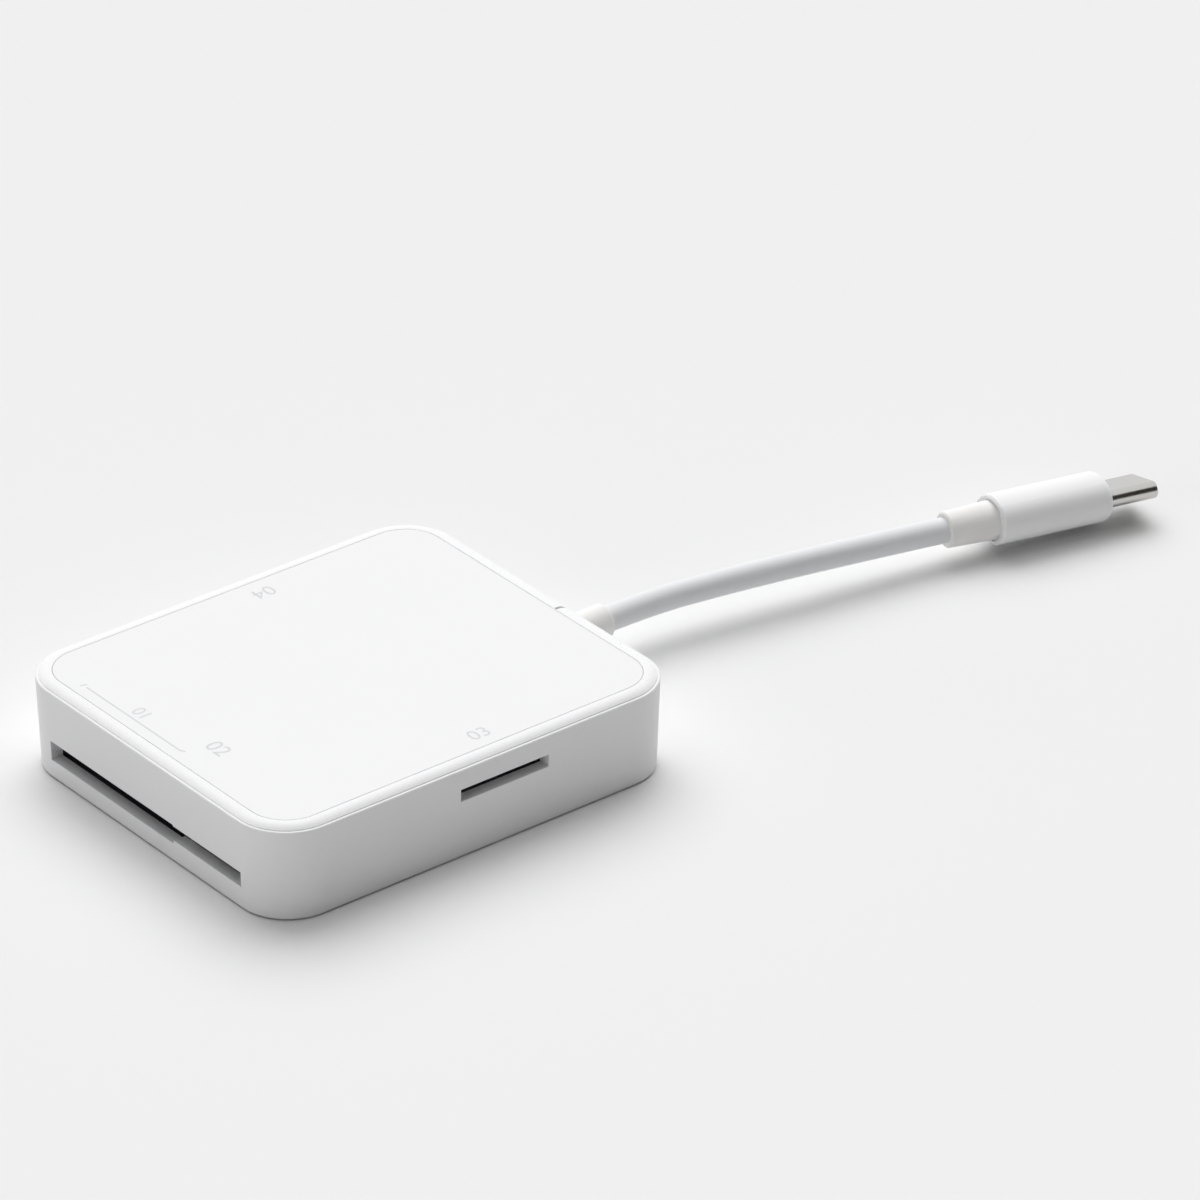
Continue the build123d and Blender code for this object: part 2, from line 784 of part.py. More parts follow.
# Cable: straight runs joined by arcs as large as their runs allow
route = [cable_exit + Vector(*step) for step in cable_steps]
runs = [after - before for before, after in zip(route, route[1:])]
turn_radii = []
for before, after in zip(runs, runs[1:]):
    half_turn = radians(before.get_angle(after)) / 2
    turn_radii.append(run_share * min(before.length, after.length) / tan(half_turn))
with BuildPart() as cable:
    with BuildLine() as cable_path:
        FilletPolyline(*route, radius=turn_radii)
    with BuildSketch(Plane(cable_exit, z_dir=runs[0])):
        Circle(cable_radius)
    sweep(path=cable_path.line)
keep(cable, "cable")
cable_length = sum(edge.length for edge in cable_path.edges())
print("cable length", round(cable_length, 2), "turn radii", [round(radius) for radius in turn_radii])

# Plug pieces stand on planes along the cable's last run, rolled about it
plug_axis = runs[-1].normalized()
level_across = plug_axis.cross(Vector(0, 0, 1)).normalized()
plug_across = level_across.rotate(Axis((0, 0, 0), plug_axis), -plug_roll)
collar_place = Plane(route[-1], x_dir=plug_across, z_dir=plug_axis)
body_place = collar_place.offset(collar_length)
nose_place = body_place.offset(plug_body_length)
shell_place = nose_place.offset(-plug_shell_root)
liner_place = shell_place.offset(plug_shell_back)
mouth_place = nose_place.offset(plug_shell_reach - liner_recess)
liner_length = plug_shell_root - plug_shell_back + plug_shell_reach - liner_recess
liner_width = plug_shell_width - 2 * plug_shell_sheet - 2 * plug_fit
liner_height = plug_shell_height - 2 * plug_shell_sheet - 2 * plug_fit

# Collar: a cone that ends on the floor of the recess in the plug body
collar_reach = collar_length + plug_rear_recess
collar_flare = degrees(atan((collar_large_radius - collar_small_radius) / collar_reach))
with BuildPart() as plug_collar:
    with BuildSketch(collar_place):
        Circle(collar_small_radius)
    extrude(amount=collar_reach, taper=-collar_flare)
    chamfer(plug_collar.edges().sort_by_distance(route[-1])[0], collar_edge_chamfer)
keep(plug_collar, "plug_collar")

# Plug body: an oval of four tangent arcs, hollowed at the rear round the collar
body_half_width = plug_body_width / 2
body_half_height = plug_body_height / 2
end_radius = plug_end_share * body_half_height
end_center = body_half_width - end_radius
crown = body_half_height - end_radius
crown_center = (end_center**2 - crown**2) / (2 * crown)
toward_meet = Vector(end_center, crown_center).normalized()


def plug_oval(inset):
    """The plug body's outline at its rear face, drawn inside by an inset."""
    meet = Vector(end_center, 0) + toward_meet * (end_radius - inset)
    side = body_half_width - inset
    top = body_half_height - inset
    with BuildSketch(body_place) as oval:
        with BuildLine():
            ThreePointArc((-meet.X, meet.Y), (0, top), (meet.X, meet.Y))
            ThreePointArc((meet.X, meet.Y), (side, 0), (meet.X, -meet.Y))
            ThreePointArc((meet.X, -meet.Y), (0, -top), (-meet.X, -meet.Y))
            ThreePointArc((-meet.X, -meet.Y), (-side, 0), (-meet.X, meet.Y))
        make_face()
    return oval.sketch


with BuildPart() as plug_body:
    extrude(plug_oval(0), amount=plug_body_length)
    rear_face = plug_body.faces().sort_by_distance(body_place.origin)[0]
    chamfer(rear_face.edges(), plug_rear_chamfer)
    front_face = plug_body.faces().sort_by_distance(nose_place.origin)[0]
    fillet(front_face.edges(), plug_front_round)
    extrude(plug_oval(plug_rear_rim), amount=plug_rear_recess, mode=Mode.SUBTRACT)
    with BuildSketch(shell_place):
        SlotOverall(plug_shell_width + 2 * plug_fit, plug_shell_height + 2 * plug_fit)
    extrude(amount=plug_shell_root, mode=Mode.SUBTRACT)
keep(plug_body, "plug_body")

with BuildPart() as plug_shell:
    with BuildSketch(shell_place):
        SlotOverall(plug_shell_width, plug_shell_height)
    extrude(amount=plug_shell_root + plug_shell_reach)
    tip = nose_place.offset(plug_shell_reach).origin
    tip_edges = plug_shell.faces().sort_by_distance(tip)[0].edges()
    fillet(tip_edges, plug_shell_round)
    with BuildSketch(liner_place):
        SlotOverall(
            plug_shell_width - 2 * plug_shell_sheet, plug_shell_height - 2 * plug_shell_sheet
        )
    extrude(amount=liner_length + liner_recess, mode=Mode.SUBTRACT)
keep(plug_shell, "plug_shell")

# Liner inside the shell, with the slot that takes the socket's tongue
with BuildPart() as plug_liner:
    with BuildSketch(liner_place):
        SlotOverall(liner_width, liner_height)
    extrude(amount=liner_length)
    with BuildSketch(mouth_place):
        Rectangle(tongue_slot_width, tongue_slot_height)
    extrude(amount=-tongue_slot_depth, mode=Mode.SUBTRACT)
keep(plug_liner, "plug_liner")

with BuildPart() as plug_contacts:
    contact_rows = tongue_slot_height - plug_contact_thick
    with BuildSketch(mouth_place.offset(-tongue_slot_depth)):
        with GridLocations(plug_contact_pitch, contact_rows, plug_contact_columns, 2):
            Rectangle(plug_contact_width, plug_contact_thick)
    extrude(amount=plug_contact_length)
keep(plug_contacts, "plug_contacts")

with BuildPart() as plug_latches:
    latch_spacing = tongue_slot_width - latch_width
    with BuildSketch(mouth_place.offset(-tongue_slot_depth)):
        with GridLocations(latch_spacing, 1, 2, 1):
            Rectangle(latch_width, latch_height)
    extrude(amount=latch_length)
keep(plug_latches, "plug_latches")

print("case height", case_height, "parting line", parting)
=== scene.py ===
# %% [markdown]
# A memory card reader on a white table. The solids come from CAD as a fixed frame, in metres, with
# the origin on the table under the middle of the case. This lesson dresses them: it draws the cable
# as one smooth line, prints the marks on the top plate, gives each piece the finish of its real
# material, and sets up a floor, soft light and a camera as in a product photograph.

# %% Load the frame
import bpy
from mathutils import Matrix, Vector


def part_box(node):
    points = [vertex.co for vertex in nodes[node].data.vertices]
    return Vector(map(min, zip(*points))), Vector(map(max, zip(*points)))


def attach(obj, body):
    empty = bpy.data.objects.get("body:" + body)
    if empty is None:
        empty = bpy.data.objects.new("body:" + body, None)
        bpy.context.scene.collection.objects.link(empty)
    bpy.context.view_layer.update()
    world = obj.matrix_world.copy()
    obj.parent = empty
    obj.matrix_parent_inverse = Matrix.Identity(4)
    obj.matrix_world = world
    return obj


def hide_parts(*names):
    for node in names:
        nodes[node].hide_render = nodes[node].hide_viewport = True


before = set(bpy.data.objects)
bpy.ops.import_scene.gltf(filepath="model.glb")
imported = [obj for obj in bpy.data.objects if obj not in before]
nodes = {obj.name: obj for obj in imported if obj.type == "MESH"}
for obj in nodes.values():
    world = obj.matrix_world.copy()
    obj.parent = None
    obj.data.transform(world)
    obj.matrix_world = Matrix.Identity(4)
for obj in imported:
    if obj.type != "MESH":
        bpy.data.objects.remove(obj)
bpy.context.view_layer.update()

# %% [markdown]
# The other modules come next. One millimetre is named once, so that every size below can be read as
# it would be on a drawing.

# %% Modules and the millimetre
from math import radians

import bmesh
import bpy
from mathutils import Matrix, Vector

MM = 0.001
scene = bpy.context.scene
scene.view_settings.view_transform = "Standard"
print("view transform", scene.view_settings.view_transform)

# %% [markdown]
# The photograph was taken from the front right, 30 degrees above the table, with a long lens. A
# camera's three axes can be written straight into its matrix: right, up, and back towards the lens.
# That keeps the horizon level and needs no empty to aim at. The focal length is in millimetres, for a
# sensor 36 mm wide.

# %% Camera
view_right = Vector((0.6248, 0.7808, 0.0))
view_up = Vector((-0.3848, 0.3079, 0.8702))
view_back = Vector((0.6794, -0.5437, 0.4928))
camera_place = Vector((0.75037, -0.55628, 0.55410))
lens = bpy.data.cameras.new("long_lens")
lens.lens = 236.65
lens.sensor_width = 36.0
lens.clip_start = 0.05
lens.clip_end = 60.0
camera = bpy.data.objects.new("camera", lens)
scene.collection.objects.link(camera)
camera.matrix_world = Matrix.Translation(camera_place) @ Matrix(
    (view_right, view_up, view_back)
).transposed().to_4x4()
scene.camera = camera
print("camera", camera_place.length, "m from the middle of the case")

# %% [markdown]
# The cable is a short, fairly stiff lead. It leaves the soft grommet straight and sinks a little
# towards the plug, which it holds just above the table. A NURBS curve with the route's points as its
# control points gives one smooth line without kinks, and a round bevel gives it its thickness, which
# each point's radius sets. The order and the end points are set after the points are added, because
# they depend on how many there are.

# %% Cable
cable_radius = 1.9 * MM
grommet_end = Vector((0.0, 45.0, 6.3)) * MM
cable_steps = [
    (0.0, 0.0, 0.0),
    (0.0, 8.5, 0.0),
    (1.79, 19.23, -0.01),
    (3.58, 29.12, -0.17),
    (5.34, 39.23, -0.55),
    (7.07, 49.31, -1.03),
    (8.42, 55.67, -1.2),
]
cable_curve = bpy.data.curves.new("cable_lead", "CURVE")
cable_curve.dimensions = "3D"
spline = cable_curve.splines.new("NURBS")
spline.points.add(len(cable_steps) - 1)
for point, step in zip(spline.points, cable_steps):
    point.co = (*(grommet_end + Vector(step) * MM), 1.0)
    point.radius = cable_radius
spline.order_u = 3
spline.use_endpoint_u = True
spline.resolution_u = 16
cable_curve.bevel_depth = 1.0
cable_curve.bevel_resolution = 10
cable_curve.use_fill_caps = True
cable = bpy.data.objects.new("cable_lead", cable_curve)
scene.collection.objects.link(cable)
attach(cable, "root")
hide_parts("cable")
print("cable with", len(cable_steps), "control points")

# %% [markdown]
# The top plate carries faint grey marks that say which card goes where: two figures beside each
# opening, and a line with a short bar at its left end that runs along the wide bay. They are
# pad-printed, a film of ink about a hundredth of a millimetre thick. A quarter of the film is sunk in
# the plate, so that no gap shows under it. The figures are text made into a mesh. The line is a chain
# of flat strokes, each drawn as one face and extruded by the ink's thickness.

# %% Printed figures
plate_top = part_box("top_plate")[1].z
ink = 0.012 * MM


def print_figures(name, figures, center, turn, size):
    """Sets two figures in ink on the plate: middle and size in millimetres, turn in degrees."""
    letter = bpy.data.curves.new(name, "FONT")
    letter.body = figures
    letter.size = size * MM
    letter.align_x = "CENTER"
    letter.align_y = "CENTER"
    letter.extrude = ink / 2
    holder = bpy.data.objects.new(name + "_text", letter)
    mesh = bpy.data.meshes.new_from_object(holder)
    bpy.data.objects.remove(holder)
    place = Vector((center[0] * MM, center[1] * MM, plate_top + ink / 4))
    mesh.transform(Matrix.Translation(place) @ Matrix.Rotation(radians(turn), 4, "Z"))
    mark = bpy.data.objects.new(name, mesh)
    scene.collection.objects.link(mark)
    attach(mark, "root")
    return mark


marks = [
    print_figures("mark_wide_bay", "01", center=(-8.0, -28.9), turn=0, size=3.0),
    print_figures("mark_narrow_bay", "02", center=(6.0, -26.4), turn=0, size=3.7),
    print_figures("mark_right_slot", "03", center=(24.8, 3.5), turn=90, size=3.4),
    print_figures("mark_left_slot", "04", center=(-24.6, 3.9), turn=-90, size=3.5),
]
print("printed", [mark.name for mark in marks])

# %% Printed line
stroke_width = 0.26 * MM
strokes = [
    ((-19.3, -31.05), (-19.05, -30.1)),
    ((-18.4, -30.6), (3.2, -30.6)),
    ((3.2, -30.6), (3.9, -30.25)),
]
shape = bmesh.new()
for start, end in strokes:
    first = Vector(start) * MM
    last = Vector(end) * MM
    aside = (last - first).normalized().orthogonal() * stroke_width / 2
    rim = [first + aside, first - aside, last - aside, last + aside]
    shape.faces.new([shape.verts.new((corner.x, corner.y, plate_top - ink / 4)) for corner in rim])
raised = bmesh.ops.extrude_face_region(shape, geom=shape.faces[:])
lifted = [part for part in raised["geom"] if isinstance(part, bmesh.types.BMVert)]
bmesh.ops.translate(shape, verts=lifted, vec=(0, 0, ink))
bmesh.ops.recalc_face_normals(shape, faces=shape.faces[:])
line_mesh = bpy.data.meshes.new("mark_line")
shape.to_mesh(line_mesh)
shape.free()
line = bpy.data.objects.new("mark_line", line_mesh)
scene.collection.objects.link(line)
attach(line, "root")
marks.append(line)
print("printed line of", len(strokes), "strokes")

# %% [markdown]
# Every finish below is a small node tree. A few helpers keep them short. One turns a colour as a
# painter would write it, an sRGB hex value, into the linear light that the shader wants. One adds a
# node, sets its properties and values, and links any socket that it is given. The other two make an
# empty material and give a finished one to CAD nodes. A noise's factor stays mostly between 0.3 and
# 0.7, so that range is what the finishes spread over their roughness.

# %% Helpers for finishes
NOISE_LOW = 0.3
NOISE_HIGH = 0.7


def linear(hex_colour):
    """An sRGB hex value as linear red, green, blue and alpha."""
    parts = [int(hex_colour[i:i + 2], 16) / 255 for i in (0, 2, 4)]
    light = [part / 12.92 if part <= 0.04045 else ((part + 0.055) / 1.055) ** 2.4 for part in parts]
    return (*light, 1.0)


def put(tree, kind, values=None, **settings):
    """Adds a node with its settings; each value is a number, a colour or another node's socket."""
    node = tree.nodes.new(kind)
    for name, setting in settings.items():
        setattr(node, name, setting)
    for socket, value in (values or {}).items():
        if isinstance(value, bpy.types.NodeSocket):
            tree.links.new(value, node.inputs[socket])
        else:
            node.inputs[socket].default_value = value
    return node


def blank_finish(name):
    """A material with an empty node tree."""
    finish = bpy.data.materials.new(name)
    finish.use_nodes = True
    finish.node_tree.nodes.clear()
    return finish


def dress(finish, *names):
    """Gives CAD nodes a finish."""
    for name in names:
        nodes[name].data.materials.clear()
        nodes[name].data.materials.append(finish)
    print(finish.name, "on", ", ".join(names))


print("helpers ready")

# %% [markdown]
# The case is white ABS, moulded in a spark-eroded tool. That gives the eye a dry, even white with a
# grain too fine to count, and soft highlights without a mirror. A noise of about a third of a
# millimetre, coarser than the real grain so that it shows at all, moves the roughness a little and
# drives a slight bump. A second, slow noise keeps large faces from looking like paint on glass.

# %% Case: spark-eroded white ABS
case_abs = blank_finish("moulded_white_abs")
tree = case_abs.node_tree
place = put(tree, "ShaderNodeTexCoord")
grain = put(tree, "ShaderNodeTexNoise", {"Vector": place.outputs["Object"], "Scale": 1 / (0.35 * MM),
                                         "Detail": 3.0, "Roughness": 0.6})
drift = put(tree, "ShaderNodeTexNoise", {"Vector": place.outputs["Object"], "Scale": 1 / (14 * MM),
                                         "Detail": 2.0})
tint = put(tree, "ShaderNodeMix", {"Factor": drift.outputs["Fac"], "A": linear("EFEFF0"),
                                   "B": linear("F1F1F2")}, data_type="RGBA")
dryness = put(tree, "ShaderNodeMapRange", {"Value": grain.outputs["Fac"],
                                           "From Min": NOISE_LOW, "From Max": NOISE_HIGH,
                                           "To Min": 0.42, "To Max": 0.56})
bump = put(tree, "ShaderNodeBump", {"Height": grain.outputs["Fac"], "Strength": 0.08,
                                    "Distance": 0.02 * MM})
shader = put(tree, "ShaderNodeBsdfPrincipled", {"Base Color": tint.outputs["Result"],
                                                "Roughness": dryness.outputs["Result"], "IOR": 1.54,
                                                "Normal": bump.outputs["Normal"]})
put(tree, "ShaderNodeOutputMaterial", {"Surface": shader.outputs["BSDF"]})
dress(case_abs, "lower_case")

# %% [markdown]
# The cover comes from a polished tool, because its rounded rim is the edge that the hand and the eye
# meet. The plastic is the same as the walls', but its colour is written a little lighter as painted
# sheen, which stands in for the satin highlight along the rim. Its grain is finer, and its roughness lower.

# %% Cover: polished white ABS, lightened with painted sheen
cover_abs_painted_sheen = blank_finish("polished_white_abs_painted_sheen")
tree = cover_abs_painted_sheen.node_tree
place = put(tree, "ShaderNodeTexCoord")
grain = put(tree, "ShaderNodeTexNoise", {"Vector": place.outputs["Object"], "Scale": 1 / (0.25 * MM),
                                         "Detail": 2.0, "Roughness": 0.5})
# The lighter colours here are painted sheen for the rim's highlight, not a whiter plastic.
tint = put(tree, "ShaderNodeMix", {"Factor": grain.outputs["Fac"], "A": linear("F5F5F6"),
                                   "B": linear("F7F7F8")}, data_type="RGBA")
dryness = put(tree, "ShaderNodeMapRange", {"Value": grain.outputs["Fac"],
                                           "From Min": NOISE_LOW, "From Max": NOISE_HIGH,
                                           "To Min": 0.26, "To Max": 0.34})
shader = put(tree, "ShaderNodeBsdfPrincipled", {"Base Color": tint.outputs["Result"],
                                                "Roughness": dryness.outputs["Result"], "IOR": 1.54})
put(tree, "ShaderNodeOutputMaterial", {"Surface": shader.outputs["BSDF"]})
dress(cover_abs_painted_sheen, "upper_cover")

# %% [markdown]
# The plate is the same plastic from a smoother tool than the walls, so it is a little whiter and more
# even, with a satin sheen. Its grain is finer and its bump weaker than the case's.

# %% Plate: satin white ABS
plate_abs = blank_finish("satin_white_abs")
tree = plate_abs.node_tree
place = put(tree, "ShaderNodeTexCoord")
grain = put(tree, "ShaderNodeTexNoise", {"Vector": place.outputs["Object"], "Scale": 1 / (0.25 * MM),
                                         "Detail": 2.0, "Roughness": 0.5})
drift = put(tree, "ShaderNodeTexNoise", {"Vector": place.outputs["Object"], "Scale": 1 / (20 * MM),
                                         "Detail": 2.0})
tint = put(tree, "ShaderNodeMix", {"Factor": drift.outputs["Fac"], "A": linear("F1F1F2"),
                                   "B": linear("F2F2F3")}, data_type="RGBA")
dryness = put(tree, "ShaderNodeMapRange", {"Value": grain.outputs["Fac"],
                                           "From Min": NOISE_LOW, "From Max": NOISE_HIGH,
                                           "To Min": 0.36, "To Max": 0.46})
bump = put(tree, "ShaderNodeBump", {"Height": grain.outputs["Fac"], "Strength": 0.05,
                                    "Distance": 0.015 * MM})
shader = put(tree, "ShaderNodeBsdfPrincipled", {"Base Color": tint.outputs["Result"],
                                                "Roughness": dryness.outputs["Result"], "IOR": 1.54,
                                                "Specular IOR Level": 0.3,
                                                "Normal": bump.outputs["Normal"]})
put(tree, "ShaderNodeOutputMaterial", {"Surface": shader.outputs["BSDF"]})
dress(plate_abs, "top_plate")

# %% [markdown]
# Pad-printing ink lies thin and unevenly on the plate, so the white shows through it a little. A fine
# noise mixes two greys, and a rough surface keeps it from shining.

# %% Marks: grey pad-printing ink
mark_ink = blank_finish("pad_printed_grey_ink")
tree = mark_ink.node_tree
place = put(tree, "ShaderNodeTexCoord")
thin_spots = put(tree, "ShaderNodeTexNoise", {"Vector": place.outputs["Object"], "Scale": 1 / (0.2 * MM),
                                              "Detail": 2.0})
tint = put(tree, "ShaderNodeMix", {"Factor": thin_spots.outputs["Fac"], "A": linear("D2D3D5"),
                                   "B": linear("DEDFE1")}, data_type="RGBA")
shader = put(tree, "ShaderNodeBsdfPrincipled", {"Base Color": tint.outputs["Result"],
                                                "Roughness": 0.6, "IOR": 1.48})
put(tree, "ShaderNodeOutputMaterial", {"Surface": shader.outputs["BSDF"]})
for mark in marks:
    mark.data.materials.append(mark_ink)
print(mark_ink.name, "on", len(marks), "marks")

# %% [markdown]
# The grommet and the collar are soft thermoplastic rubber over the cable. Beside the hard white case
# they look a little warmer, and they scatter light inside, which softens their shading. A small
# subsurface amount gives that. Its radius times its scale, about a quarter of a millimetre, is how
# far the light goes.

# %% Grommet and collar: soft off-white rubber
soft_tpe = blank_finish("soft_offwhite_tpe")
tree = soft_tpe.node_tree
place = put(tree, "ShaderNodeTexCoord")
cloud = put(tree, "ShaderNodeTexNoise", {"Vector": place.outputs["Object"], "Scale": 1 / (3 * MM),
                                         "Detail": 3.0})
grain = put(tree, "ShaderNodeTexNoise", {"Vector": place.outputs["Object"], "Scale": 1 / (0.3 * MM),
                                         "Detail": 2.0})
tint = put(tree, "ShaderNodeMix", {"Factor": cloud.outputs["Fac"], "A": linear("F5F4F2"),
                                   "B": linear("F7F6F4")}, data_type="RGBA")
bump = put(tree, "ShaderNodeBump", {"Height": grain.outputs["Fac"], "Strength": 0.08,
                                    "Distance": 0.02 * MM})
shader = put(tree, "ShaderNodeBsdfPrincipled", {"Base Color": tint.outputs["Result"],
                                                "Roughness": 0.55, "IOR": 1.5, "Subsurface Weight": 0.15,
                                                "Subsurface Radius": (0.6, 0.5, 0.4),
                                                "Subsurface Scale": 0.5 * MM,
                                                "Normal": bump.outputs["Normal"]})
put(tree, "ShaderNodeOutputMaterial", {"Surface": shader.outputs["BSDF"]})
dress(soft_tpe, "cable_grommet", "plug_collar")

# %% [markdown]
# The cable's jacket is extruded through a die, so it is smooth along its length, with a satin gloss
# that the case lacks. A weak, slow unevenness in the roughness is all that shows.

# %% Cable: extruded white jacket
jacket = blank_finish("extruded_white_jacket")
tree = jacket.node_tree
place = put(tree, "ShaderNodeTexCoord")
waver = put(tree, "ShaderNodeTexNoise", {"Vector": place.outputs["Object"], "Scale": 1 / (2.5 * MM),
                                         "Detail": 3.0})
gloss = put(tree, "ShaderNodeMapRange", {"Value": waver.outputs["Fac"],
                                         "From Min": NOISE_LOW, "From Max": NOISE_HIGH,
                                         "To Min": 0.34, "To Max": 0.44})
tint = put(tree, "ShaderNodeMix", {"Factor": waver.outputs["Fac"], "A": linear("E7E8EA"),
                                   "B": linear("EAEBED")}, data_type="RGBA")
shader = put(tree, "ShaderNodeBsdfPrincipled", {"Base Color": tint.outputs["Result"],
                                                "Roughness": gloss.outputs["Result"], "IOR": 1.5})
put(tree, "ShaderNodeOutputMaterial", {"Surface": shader.outputs["BSDF"]})
cable_curve.materials.append(jacket)
print(jacket.name, "on", cable.name)

# %% [markdown]
# The plug's body is moulded in hard white plastic with a fine matte tool, like the case but a little
# smoother.

# %% Plug body: fine matte white plastic
plug_white = blank_finish("moulded_white_plug")
tree = plug_white.node_tree
place = put(tree, "ShaderNodeTexCoord")
grain = put(tree, "ShaderNodeTexNoise", {"Vector": place.outputs["Object"], "Scale": 1 / (0.25 * MM),
                                         "Detail": 3.0})
tint = put(tree, "ShaderNodeMix", {"Factor": grain.outputs["Fac"], "A": linear("F3F3F4"),
                                   "B": linear("F5F5F6")}, data_type="RGBA")
bump = put(tree, "ShaderNodeBump", {"Height": grain.outputs["Fac"], "Strength": 0.06,
                                    "Distance": 0.015 * MM})
shader = put(tree, "ShaderNodeBsdfPrincipled", {"Base Color": tint.outputs["Result"],
                                                "Roughness": 0.45, "IOR": 1.54,
                                                "Normal": bump.outputs["Normal"]})
put(tree, "ShaderNodeOutputMaterial", {"Surface": shader.outputs["BSDF"]})
dress(plug_white, "plug_body")

# %% [markdown]
# The plug's shell is drawn from stainless sheet and nickel-plated. It mirrors the room softly, with
# fine lines along the way it slides. A noise that is stretched almost along the shell stands for
# them, drawn as coarse as a tenth of a millimetre so that they can be seen.

# %% Plug shell: nickel-plated drawn steel
nickel = blank_finish("nickel_plated_steel")
tree = nickel.node_tree
place = put(tree, "ShaderNodeTexCoord")
turned = put(tree, "ShaderNodeMapping", {"Vector": place.outputs["Object"],
                                         "Rotation": (0.0, 0.0, radians(12)),
                                         "Scale": (1.0, 0.04, 1.0)})
lines = put(tree, "ShaderNodeTexNoise", {"Vector": turned.outputs["Vector"], "Scale": 1 / (0.1 * MM),
                                         "Detail": 2.0})
polish = put(tree, "ShaderNodeMapRange", {"Value": lines.outputs["Fac"],
                                          "From Min": NOISE_LOW, "From Max": NOISE_HIGH,
                                          "To Min": 0.23, "To Max": 0.26})
shader = put(tree, "ShaderNodeBsdfPrincipled", {"Base Color": linear("C9C8C5"), "Metallic": 1.0,
                                                "Roughness": polish.outputs["Result"]})
put(tree, "ShaderNodeOutputMaterial", {"Surface": shader.outputs["BSDF"]})
dress(nickel, "plug_shell", "plug_latches")

# %% [markdown]
# The sockets' shells inside the case are stamped tin-plated sheet, duller than the plug. The screws
# and the crystal's can take the same metal.

# %% Socket shells: tin-plated steel sheet
tin_sheet = blank_finish("tin_plated_sheet")
tree = tin_sheet.node_tree
place = put(tree, "ShaderNodeTexCoord")
spangle = put(tree, "ShaderNodeTexNoise", {"Vector": place.outputs["Object"], "Scale": 1 / (0.8 * MM),
                                           "Detail": 3.0})
polish = put(tree, "ShaderNodeMapRange", {"Value": spangle.outputs["Fac"],
                                          "From Min": NOISE_LOW, "From Max": NOISE_HIGH,
                                          "To Min": 0.25, "To Max": 0.4})
shader = put(tree, "ShaderNodeBsdfPrincipled", {"Base Color": linear("C3C3C1"), "Metallic": 1.0,
                                                "Roughness": polish.outputs["Result"]})
put(tree, "ShaderNodeOutputMaterial", {"Surface": shader.outputs["BSDF"]})
dress(tin_sheet, "narrow_bay_shell", "left_socket_shell", "right_socket_shell", "board_screws", "crystal")

# %% [markdown]
# Contacts and pins are springy copper alloy with a flash of gold. The gold is thin, so the colour is
# pale and a little uneven.

# %% Contacts: gold flash on copper alloy
gold = blank_finish("gold_flashed_contacts")
tree = gold.node_tree
place = put(tree, "ShaderNodeTexCoord")
wear = put(tree, "ShaderNodeTexNoise", {"Vector": place.outputs["Object"], "Scale": 1 / (0.5 * MM),
                                        "Detail": 3.0})
tint = put(tree, "ShaderNodeMix", {"Factor": wear.outputs["Fac"], "A": linear("D9B25E"),
                                   "B": linear("E6C67C")}, data_type="RGBA")
shader = put(tree, "ShaderNodeBsdfPrincipled", {"Base Color": tint.outputs["Result"],
                                                "Metallic": 1.0, "Roughness": 0.25})
put(tree, "ShaderNodeOutputMaterial", {"Surface": shader.outputs["BSDF"]})
dress(gold, "narrow_bay_contacts", "left_socket_contacts", "right_socket_contacts", "wide_bay_pins",
      "plug_contacts")

# %% [markdown]
# Socket bases, the pin header, the plug's liner and the chips are black. Connector plastic is filled
# with glass fibre, which leaves a faint grey bloom with a short grain.

# %% Connector bases and chips: glass-filled black plastic
black_filled = blank_finish("glass_filled_black")
tree = black_filled.node_tree
place = put(tree, "ShaderNodeTexCoord")
bloom = put(tree, "ShaderNodeTexNoise", {"Vector": place.outputs["Object"], "Scale": 1 / (0.4 * MM),
                                         "Detail": 4.0})
tint = put(tree, "ShaderNodeMix", {"Factor": bloom.outputs["Fac"], "A": linear("1C1C1D"),
                                   "B": linear("2C2C2D")}, data_type="RGBA")
shader = put(tree, "ShaderNodeBsdfPrincipled", {"Base Color": tint.outputs["Result"],
                                                "Roughness": 0.5, "IOR": 1.6})
put(tree, "ShaderNodeOutputMaterial", {"Surface": shader.outputs["BSDF"]})
dress(black_filled, "narrow_bay_base", "left_socket_base", "right_socket_base", "wide_bay_frame",
      "plug_liner", "controller_chip", "regulator", "resistors")

# %% [markdown]
# The board is glass-epoxy laminate under green solder mask. The mask is a glossy lacquer over copper,
# so the green is uneven and darker where there is no copper below.

# %% Board: green solder mask
solder_mask = blank_finish("green_solder_mask")
tree = solder_mask.node_tree
place = put(tree, "ShaderNodeTexCoord")
copper = put(tree, "ShaderNodeTexVoronoi", {"Vector": place.outputs["Object"], "Scale": 1 / (3 * MM)},
             feature="F1", distance="MANHATTAN")
tint = put(tree, "ShaderNodeMix", {"Factor": copper.outputs["Distance"], "A": linear("1F6B3C"),
                                   "B": linear("15502C")}, data_type="RGBA")
shader = put(tree, "ShaderNodeBsdfPrincipled", {"Base Color": tint.outputs["Result"],
                                                "Roughness": 0.3, "IOR": 1.5})
put(tree, "ShaderNodeOutputMaterial", {"Surface": shader.outputs["BSDF"]})
dress(solder_mask, "circuit_board")

# %% [markdown]
# A few small things are left: tan ceramic capacitors, the clear lamp, red insulation on the leads,
# and the smoke-grey light pipe that shows as a thin dark slit in the rear rim. The pipe and the lamp
# are drawn opaque, because nothing behind them can be made out through so small a slit.

